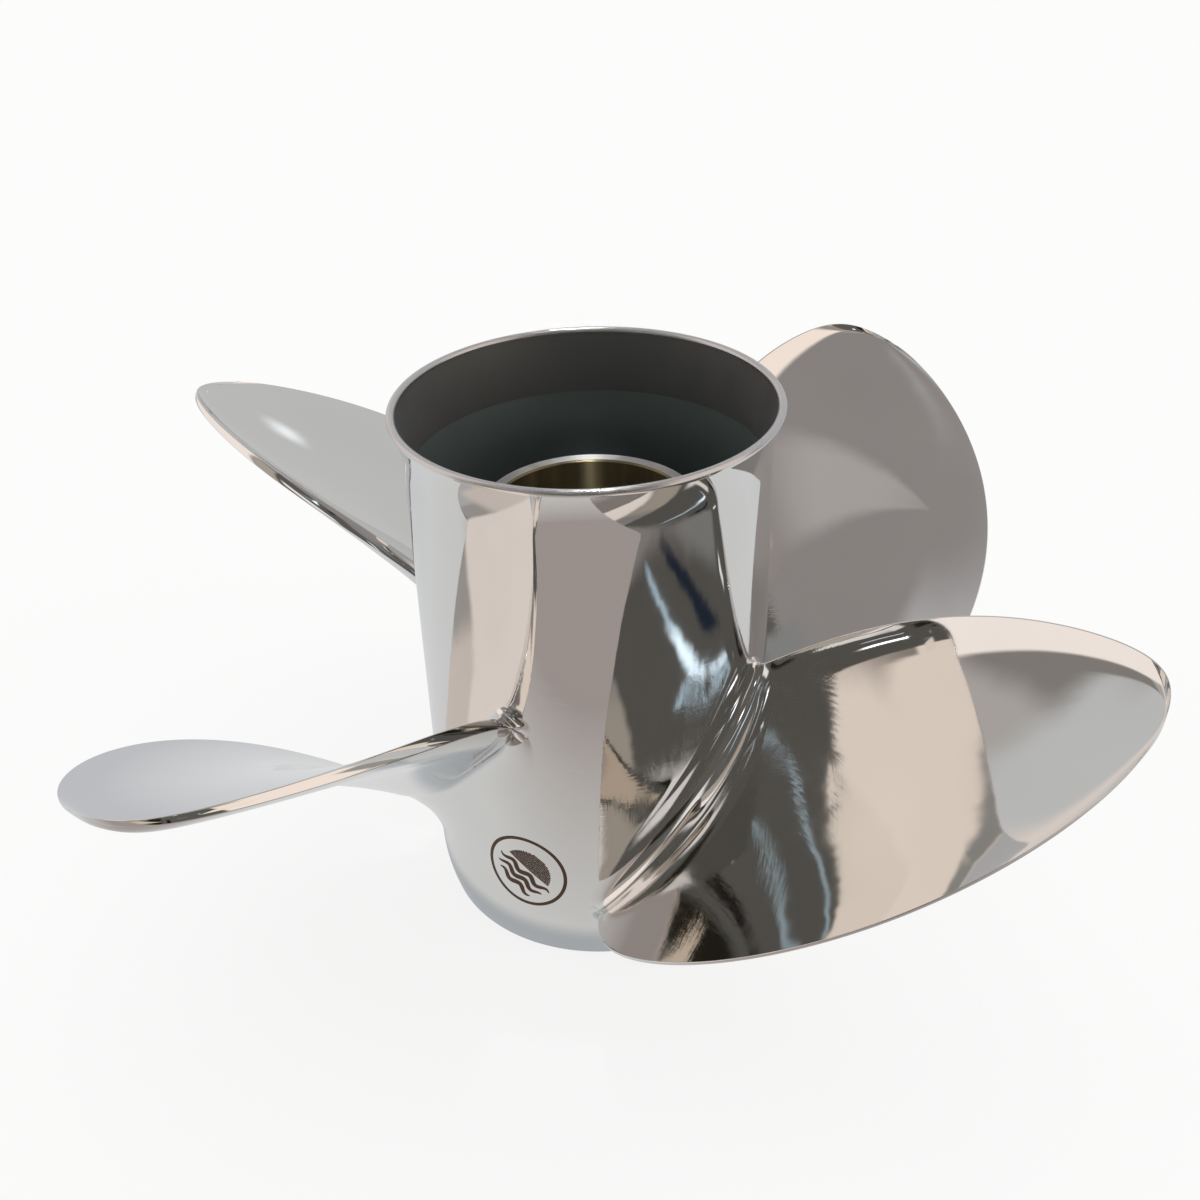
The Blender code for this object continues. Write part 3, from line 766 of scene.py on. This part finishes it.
def etched_brown():
    """Steel burnt brown by etching, with the burn deeper in places."""
    material, tree, shader = new_material("etched_brown", metallic=0.35)
    burn = noise(tree, scale=900.0, detail=4.0)
    vary_color(tree, shader, burn, colors().etched, darker=0.45, lighter=1.7)
    vary_roughness(tree, shader, burn, low=0.35, high=0.60)
    bump(tree, shader, burn, depth=0.02 * MM)
    return material


def bore_skin(name):
    """Cast skin that is a shade cooler below the level where the ring meets the barrel."""
    material, tree, shader = new_material(name, metallic=0.35)
    height = coordinates(tree, "Object")[1]["Z"]
    soft = BORE_SHADE_SOFTNESS
    share = smooth_step(tree, height, RING_LOW.z - soft, RING_LOW.z + soft)
    mixed = mix_colors(tree, share, colors().cast_lower, colors().cast_upper)
    set_inputs(tree, shader, {"Base Color": mixed})
    rub = noise(tree, scale=90.0, detail=4.0, stretch=(1.0, 1.0, 0.6))
    vary_roughness(tree, shader, rub, low=0.34, high=0.48)
    bump(tree, shader, noise(tree, scale=900.0, detail=3.0), depth=0.02 * MM)
    return material


def paint(piece, material, test):
    """Give the faces that a test picks a material of their own."""
    piece.data.materials.append(material)
    for face in piece.data.polygons:
        if test(face):
            face.material_index = len(piece.data.materials) - 1


def polished_piece(mesh, node, sharp=35.0):
    """A piece in the one mirror polish, which follows how near the blade roots are."""
    mark_near_root(mesh)
    steel = bpy.data.materials.get(MIRROR_STEEL) or polished_steel()
    return finish_mesh(mesh, steel, [node], sharp)


def faces_inward(face):
    """True on bore walls, whose normals point at the axis."""
    outward = face.normal.x * face.center.x + face.normal.y * face.center.y
    return outward < INWARD_SLANT * face.center.xy.length


def faces_outward(face):
    """True on the outer wall of a tube."""
    return face.normal.xy.length > UPRIGHT_WALL and not faces_inward(face)


class PROPELLER_OT_barrel(bpy.types.Operator):
    """Build the barrel: polished outside, dark cast skin inside"""

    bl_idname = "propeller.barrel"
    bl_label = "Barrel"

    def execute(self, context):
        mesh = turned_mesh("barrel_shell", barrel_profile(), sizes().round_steps)
        piece = polished_piece(mesh, "hub_barrel")
        inside = bore_skin("barrel_inside")
        paint(piece, inside, lambda face: faces_inward(face) and face.center.z > NOSE_POLISH)
        return {"FINISHED"}


class PROPELLER_OT_ring(bpy.types.Operator):
    """Build the flared ring with its polished lip"""

    bl_idname = "propeller.ring"
    bl_label = "Flared Ring"

    def execute(self, context):
        mesh = turned_mesh("flared_ring", ring_profile(), sizes().round_steps)
        piece = polished_piece(mesh, "diffuser_ring")
        inside = bore_skin("ring_inside")
        cast_to, lip_from = RING_HIGH.z - RIM_POLISH, RING_HIGH.z - RIM_LIP
        paint(piece, inside, lambda face: faces_inward(face) and face.center.z < cast_to)
        lip = turned_steel("turned_lip", colors().lip, roughness=0.26, grooved=0.8, patchy=0.06)
        paint(piece, lip, lambda face: face.center.z > lip_from)
        return {"FINISHED"}


class PROPELLER_OT_blades(bpy.types.Operator):
    """Build the four raked blades with their cupped trailing edges and root fillets"""

    bl_idname = "propeller.blades"
    bl_label = "Blades"

    def execute(self, context):
        for index, node in enumerate(BLADE_NODES):
            polished_piece(blade_mesh(f"{node}_skin", index), node, sharp=40.0)
        return {"FINISHED"}


class PROPELLER_OT_inner_hub(bpy.types.Operator):
    """Build the machined inner hub with its bright end face"""

    bl_idname = "propeller.inner_hub"
    bl_label = "Inner Hub"

    def execute(self, context):
        outer, bore, edge = HUB_HIGH.x, sizes().hub_bore, sizes().hub_chamfer
        low, high = HUB_LOW.z, HUB_HIGH.z
        profile = [(outer - edge, high), (outer, high - edge), (outer, low + edge), (outer - edge, low)]
        profile += [(bore + edge, low), (bore, low + edge), (bore, high - edge), (bore + edge, high)]
        mesh = turned_mesh("inner_hub_tube", profile, HUB_STEPS)
        end = turned_steel("turned_face", colors().machined, roughness=0.34, grooved=0.85, patchy=0.09)
        piece = finish_mesh(mesh, end, ["inner_hub"], sharp=30.0)
        # The bore's strong colour streaks are painted bands of reflection
        bore_with_painted_reflections = turned_steel("hub_bore", colors().bore, roughness=0.30, grooved=0.97, patchy=0.6)
        paint(piece, bore_with_painted_reflections, faces_inward)
        skin = cast_skin("hub_outside", colors().cast_lower, lighter=1.6, roughness=0.42)
        paint(piece, skin, faces_outward)
        return {"FINISHED"}


def rib_outline(inner, outer, half, flare, steps=7):
    """Plan view of a rib: a plate whose ends flare into the hub and the barrel."""
    upper = []
    for angle in np.linspace(0.0, 0.5 * math.pi, steps):
        upper.append((inner + flare * (1.0 - math.cos(angle)), half + flare * (1.0 - math.sin(angle))))
    for angle in np.linspace(0.5 * math.pi, 0.0, steps):
        upper.append((outer - flare * (1.0 - math.cos(angle)), half + flare * (1.0 - math.sin(angle))))
    lower = [(x, -y) for x, y in reversed(upper)]
    return upper + lower


def rib_mesh(name, low, high):
    """A rib from the inner hub to the barrel, with small chamfers at its top and bottom."""
    center = 0.5 * (low + high)
    turn = math.atan2(center.y, center.x)
    inner, outer = HUB_HIGH.x - PRESSED, sizes().barrel_bore - PRESSED
    outline = rib_outline(inner, outer, RIB_HALF, RIB_FLARE)
    bottom, top = low.z, high.z
    levels = ((bottom, -RIB_EDGE), (bottom + RIB_EDGE, 0.0), (top - RIB_EDGE, 0.0), (top, -RIB_EDGE))
    points = []
    for z, grow in levels:
        for x, y in outline:
            y += math.copysign(grow, y)
            across = x * math.cos(turn) - y * math.sin(turn)
            points.append((across, x * math.sin(turn) + y * math.cos(turn), z))
    count = len(outline)
    ends = [tuple(range(count)), tuple(range(3 * count, 4 * count))]
    return mesh_from(name, points, ends + band_faces(len(levels), count))


class PROPELLER_OT_ribs(bpy.types.Operator):
    """Build the cast ribs between the inner hub and the barrel"""

    bl_idname = "propeller.ribs"
    bl_label = "Ribs"

    def execute(self, context):
        skin = cast_skin("rib_skin", shade(colors().cast_upper, 1.2), lighter=1.7, roughness=0.42)
        for node in RIB_NODES:
            mesh = rib_mesh(f"{node}_web", *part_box(node))
            finish_mesh(mesh, skin, [node])
        return {"FINISHED"}


class PROPELLER_OT_drive_kit(bpy.types.Operator):
    """Build the rubber bushing and the splined brass sleeve"""

    bl_idname = "propeller.drive_kit"
    bl_label = "Drive Kit"

    def execute(self, context):
        bushing()
        sleeve()
        return {"FINISHED"}


def bushing():
    """The rubber ring, with a round groove in each end."""
    outer, bore = sizes().hub_bore, SLEEVE_HIGH.x + PRESSED
    low, high, edge = BUSHING_LOW.z, BUSHING_HIGH.z, BUSHING_EDGE
    middle, half = 0.5 * (outer + bore), BUSHING_GROOVE_SHARE * (outer - bore)

    def groove(end, start):
        rounded = arc((middle, end), half, start, start + 180.0, 9)
        return [(radius, end + (height - end) * BUSHING_GROOVE / half) for radius, height in rounded]

    profile = [(outer, high - edge), (outer, low + edge), (outer - edge, low)] + groove(low, 0.0)
    profile += [(bore, low), (bore, high)] + groove(high, 180.0) + [(outer - edge, high)]
    mesh = turned_mesh("rubber_bushing", profile, BUSHING_STEPS)
    finish_mesh(mesh, moulded_rubber(), ["hub_bushing"])


def sleeve():
    """The sleeve: a round outside and a bore with fifteen flat-bottomed grooves."""
    tip, root, ease = SPLINE_TIP, SPLINE_ROOT, SPLINE_EASE
    shares = (-0.30, -0.27, -0.18, -0.16, 0.16, 0.18, 0.27, 0.30, 0.40, 0.50, 0.60)
    radii = (tip, tip + ease, root - ease, root, root, root - ease, tip + ease, tip, tip, tip, tip)
    inner, outer = [], []
    for index in range(SPLINE_TEETH):
        for share, radius in zip(shares, radii):
            angle = math.tau * (index + share) / SPLINE_TEETH
            ray = (math.cos(angle), math.sin(angle))
            inner.append((ray, radius))
            outer.append((ray, SLEEVE_HIGH.x))
    low, high, edge = SLEEVE_LOW.z, SLEEVE_HIGH.z, SLEEVE_CHAMFER
    lead, lead_length = SPLINE_LEAD, SPLINE_LEAD_LENGTH
    levels = [(outer, -edge, high), (outer, 0.0, high - edge), (outer, 0.0, low + edge), (outer, -edge, low)]
    levels += [(inner, lead, low), (inner, 0.0, low + lead_length)]
    levels += [(inner, 0.0, high - lead_length), (inner, lead, high)]
    points = [(ray[0] * (r + grow), ray[1] * (r + grow), z) for ring, grow, z in levels for ray, r in ring]
    mesh = mesh_from("splined_sleeve", points, band_faces(len(levels), len(inner), closed=True))
    finish_mesh(mesh, machined_brass(), ["drive_sleeve"], sharp=25.0)


def ribbon(points, faces, line, half_widths, closed=False):
    """A thin raised strip along a line on the unrolled barrel, half_widths to each side."""
    line = np.array(line)
    ahead = np.roll(line, -1, 0) - np.roll(line, 1, 0)
    if not closed:
        ahead[0], ahead[-1] = line[1] - line[0], line[-1] - line[-2]
    side = np.stack([-ahead[:, 1], ahead[:, 0]], -1) / np.linalg.norm(ahead, axis=1)[:, None]
    half = np.asarray(half_widths)[:, None] * np.ones((len(line), 1))
    first = len(points)
    for left, right in zip(line + side * half, line - side * half):
        for flat, level in ((left, MARK_RAISED), (right, MARK_RAISED), (right, MARK_SUNK), (left, MARK_SUNK)):
            points.append(on_barrel(flat, level))
    faces += band_faces(len(line), 4, first, closed)
    if not closed:
        last = len(points) - 4
        faces += [tuple(range(first, first + 4)), tuple(range(last, last + 4))]


def on_barrel(flat, level):
    """A point of the mark, (arc, height) from its centre, on the barrel's surface."""
    arc_length = flat[0] * math.cos(MARK_TILT) - flat[1] * math.sin(MARK_TILT)
    height = MARK_HEIGHT + flat[0] * math.sin(MARK_TILT) + flat[1] * math.cos(MARK_TILT)
    radius = float(barrel_surface(height)) + level
    angle = MARK_ANGLE + arc_length / BARREL_RADIUS
    return (radius * math.cos(angle), radius * math.sin(angle), height)


def mark_mesh(name):
    """The ring, the waves and the lines of the half disc, in one mesh."""
    points, faces = [], []
    turns = np.linspace(0.0, math.tau, 96, endpoint=False)
    ring = [(MARK_RADIUS * math.cos(turn), MARK_RADIUS * math.sin(turn)) for turn in turns]
    ribbon(points, faces, ring, [MARK_RING_HALF], closed=True)
    for level, reach in WAVES:
        across = np.linspace(-reach, reach, 60)
        wave = [(x, level + WAVE_HEIGHT * math.sin(x / WAVE_LENGTH)) for x in across]
        taper = WAVE_HALF * np.sqrt(np.maximum(WAVE_END, 1.0 - (across / reach) ** 2))
        ribbon(points, faces, wave, taper)
    for level in np.arange(*DISC_LEVELS) * MM:
        reach = math.sqrt(max(0.0, DISC_RADIUS ** 2 - level ** 2))
        if reach > DISC_SHORTEST:
            line = [(x, level) for x in np.linspace(-reach, reach, 14)]
            ribbon(points, faces, line, [DISC_LINE_HALF])
    return mesh_from(name, points, faces)


class PROPELLER_OT_etched_mark(bpy.types.Operator):
    """Etch a plain ring with a half disc over three waves low on the barrel"""

    bl_idname = "propeller.etched_mark"
    bl_label = "Etched Mark"

    def execute(self, context):
        finish_mesh(mark_mesh("etched_mark"), etched_brown(), [])
        return {"FINISHED"}


def view_axes():
    """The camera's right, up and back, turned by its roll."""
    back = (CAMERA_PLACE - CAMERA_TARGET).normalized()
    right = Vector((0.0, 0.0, 1.0)).cross(back).normalized()
    up = back.cross(right)
    turn = math.radians(CAMERA_ROLL)
    return right * math.cos(turn) - up * math.sin(turn), right * math.sin(turn) + up * math.cos(turn), back


def add_camera():
    """The camera of the photograph, with all of it in focus."""
    data = bpy.data.cameras.new("photo_view")
    data.lens = CAMERA_LENS
    data.sensor_width = SENSOR_WIDTH
    data.clip_start, data.clip_end = CLIP_START, CLIP_END
    camera = add_object("photo_view", data)
    right, up, back = view_axes()
    camera.matrix_world = Matrix.Translation(CAMERA_PLACE) @ Matrix((right, up, back)).transposed().to_4x4()
    bpy.context.scene.camera = camera


def panel_share(tree, azimuth, elevation, middle, half_width, low, high, soft, lean):
    """How much of one panel lies in a direction."""
    aside = math_node(tree, "SUBTRACT", azimuth, math.radians(middle))
    if lean:
        height = math_node(tree, "SUBTRACT", elevation, math.radians(low))
        aside = math_node(tree, "SUBTRACT", aside, math_node(tree, "MULTIPLY", height, lean))
    aside = math_node(tree, "ABSOLUTE", math_node(tree, "WRAP", aside, math.pi, -math.pi))
    wide, edge = math.radians(half_width), math.radians(soft)
    across = smooth_step(tree, aside, wide + edge, max(0.0, wide - edge))
    below = smooth_step(tree, elevation, math.radians(high) + edge, math.radians(high) - edge)
    share = math_node(tree, "MULTIPLY", across, below)
    if low <= -90.0:
        return share
    above = smooth_step(tree, elevation, math.radians(low) - edge, math.radians(low) + edge)
    return math_node(tree, "MULTIPLY", share, above)


def add_world():
    """The room round the propeller, as its mirror finish shows it, and a plain pale backdrop."""
    world = bpy.data.worlds.new("studio")
    world.use_nodes = True
    tree = world.node_tree
    direction = coordinates(tree, "Generated")[1]
    elevation = math_node(tree, "ARCSINE", direction["Z"])
    azimuth = math_node(tree, "ARCTAN2", direction["Y"], direction["X"])
    color = CEILING
    for *panel, radiance in SURROUNDINGS.values():
        color = mix_colors(tree, panel_share(tree, azimuth, elevation, *panel), color, radiance)
    room = tree.nodes["Background"]
    set_inputs(tree, room, {"Color": color})
    backdrop = add_node(tree, "Background", {"Color": colors().floor})
    eye_or_mirror(tree, backdrop, room, "World Output")
    bpy.context.scene.world = world


def eye_or_mirror(tree, seen, mirrored, output):
    """One shader for the camera, the other for all that mirrors it."""
    direct = add_node(tree, "LightPath").outputs["Is Camera Ray"]
    choice = add_node(tree, "MixShader", {"Fac": direct, 1: mirrored.outputs[0], 2: seen.outputs[0]})
    set_inputs(tree, tree.nodes[output], {"Surface": choice.outputs["Shader"]})


def floor_material():
    """Pale to the eye; in the steel it is warm grey in front and cool white behind, with a painted shadow
    under the propeller.
    """
    material, tree, shader = new_material("studio_floor", metallic=0.0)
    place, split = coordinates(tree, "Object")
    start, end = FLOOR_BANDS[0][0], FLOOR_BANDS[-1][0]
    ramp = add_node(tree, "ValToRGB", {"Fac": spread(tree, split["Y"], 0.0, 1.0, start, end)})
    stops = ramp.color_ramp.elements
    for index, (depth, color) in enumerate(FLOOR_BANDS):
        position = (depth - start) / (end - start)
        stop = stops[index] if index < 2 else stops.new(position)
        stop.position = position
        stop.color = (*color, 1.0)
    color = ramp.outputs["Color"]
    # Round spots over the bands; the first is a painted shadow under the propeller
    for center, inner, outer, patch in FLOOR_SPOTS_WITH_PAINTED_SHADOW:
        inputs = {0: place, 1: (*center, FLOOR_LEVEL)}
        away = add_node(tree, "VectorMath", inputs, operation="DISTANCE").outputs["Value"]
        color = mix_colors(tree, smooth_step(tree, away, outer, inner), color, patch)
    floor = colors().floor
    set_inputs(tree, shader, {
        "Base Color": shade(floor, FLOOR_SHADE), "Roughness": 1.0, "Specular IOR Level": 0.0,
        "Emission Color": floor, "Emission Strength": FLOOR_GLOW,
    })
    eye_or_mirror(tree, shader, add_node(tree, "Emission", {"Color": color}), "Material Output")
    return material


def add_floor():
    """A table top near the propeller, and a wide sweep round it that the steel doesn't mirror."""
    material = floor_material()
    across, along = TABLE_EDGES
    for column in range(len(across) - 1):
        for row in range(len(along) - 1):
            name = f"studio_floor_{column}_{row}"
            (left, right), (front, back) = across[column:column + 2], along[row:row + 2]
            corners = ((left, front), (right, front), (right, back), (left, back))
            mesh = bpy.data.meshes.new(name)
            mesh.from_pydata([(x, y, FLOOR_LEVEL) for x, y in corners], [], [(0, 1, 2, 3)])
            mesh.materials.append(material)
            floor = add_object(name, mesh)
            floor.visible_glossy = (column, row) in TABLE_CELLS


def add_soft_light():
    """A wide overhead light for the floor, which the steel doesn't mirror."""
    data = bpy.data.lights.new("soft_light", "SUN")
    data.angle = math.radians(SKY_WIDTH)
    data.energy = SKY_ENERGY
    light = add_object("soft_light", data)
    light.rotation_euler = (math.radians(SKY_TILT[0]), math.radians(SKY_TILT[1]), 0.0)
    light.visible_glossy = False


def add_barrel_lights():
    """Narrow lights that reach only into the open barrel: from above, and on the hub's bore."""
    rim = Vector((0.0, 0.0, RING_HIGH.z))
    bore_back = Vector((0.0, sizes().hub_bore, HUB_HIGH.z - BORE_LIGHT_DROP))
    for spot, target in ((BARREL_LIGHT, rim), (BORE_LIGHT, bore_back)):
        name, place, reach, energy, soft = spot
        away = Vector(place) - target
        data = bpy.data.lights.new(name, "SPOT")
        data.energy = energy
        data.shadow_soft_size = soft
        data.spot_size = 2.0 * math.atan(reach / away.length)
        data.spot_blend = SPOT_BLEND
        light = add_object(name, data)
        light.location = place
        light.rotation_euler = away.to_track_quat("Z", "Y").to_euler()


class PROPELLER_OT_stage(bpy.types.Operator):
    """Set the floor, the surrounding light and the camera"""

    bl_idname = "propeller.stage"
    bl_label = "Stage"

    def execute(self, context):
        add_floor()
        add_world()
        add_soft_light()
        add_barrel_lights()
        add_camera()
        bpy.context.scene.view_settings.view_transform = "Standard"
        return {"FINISHED"}


class PROPELLER_PT_panel(bpy.types.Panel):
    """Lists the propeller's pieces"""

    bl_idname = "PROPELLER_PT_panel"
    bl_label = "Outboard Propeller"
    bl_space_type = "VIEW_3D"
    bl_region_type = "UI"
    bl_category = "Propeller"

    def draw(self, context):
        layout = self.layout
        for group in (context.scene.propeller_sizes, context.scene.propeller_colors):
            box = layout.box()
            for name in group.__annotations__:
                box.prop(group, name)
        for operator in BUILD_ORDER:
            layout.operator(operator.bl_idname)


BUILD_ORDER = (
    PROPELLER_OT_barrel,
    PROPELLER_OT_ring,
    PROPELLER_OT_blades,
    PROPELLER_OT_inner_hub,
    PROPELLER_OT_ribs,
    PROPELLER_OT_drive_kit,
    PROPELLER_OT_etched_mark,
    PROPELLER_OT_stage,
)
CLASSES = (PropellerSizes, PropellerColors) + BUILD_ORDER + (PROPELLER_PT_panel,)


def register():
    for item in CLASSES:
        bpy.utils.register_class(item)
    bpy.types.Scene.propeller_sizes = PointerProperty(type=PropellerSizes)
    bpy.types.Scene.propeller_colors = PointerProperty(type=PropellerColors)


def unregister():
    del bpy.types.Scene.propeller_colors
    del bpy.types.Scene.propeller_sizes
    for item in reversed(CLASSES):
        bpy.utils.unregister_class(item)


def main():
    register()
    for operator in BUILD_ORDER:
        group, name = operator.bl_idname.split(".")
        getattr(getattr(bpy.ops, group), name)()


if __name__ == "__main__":
    main()
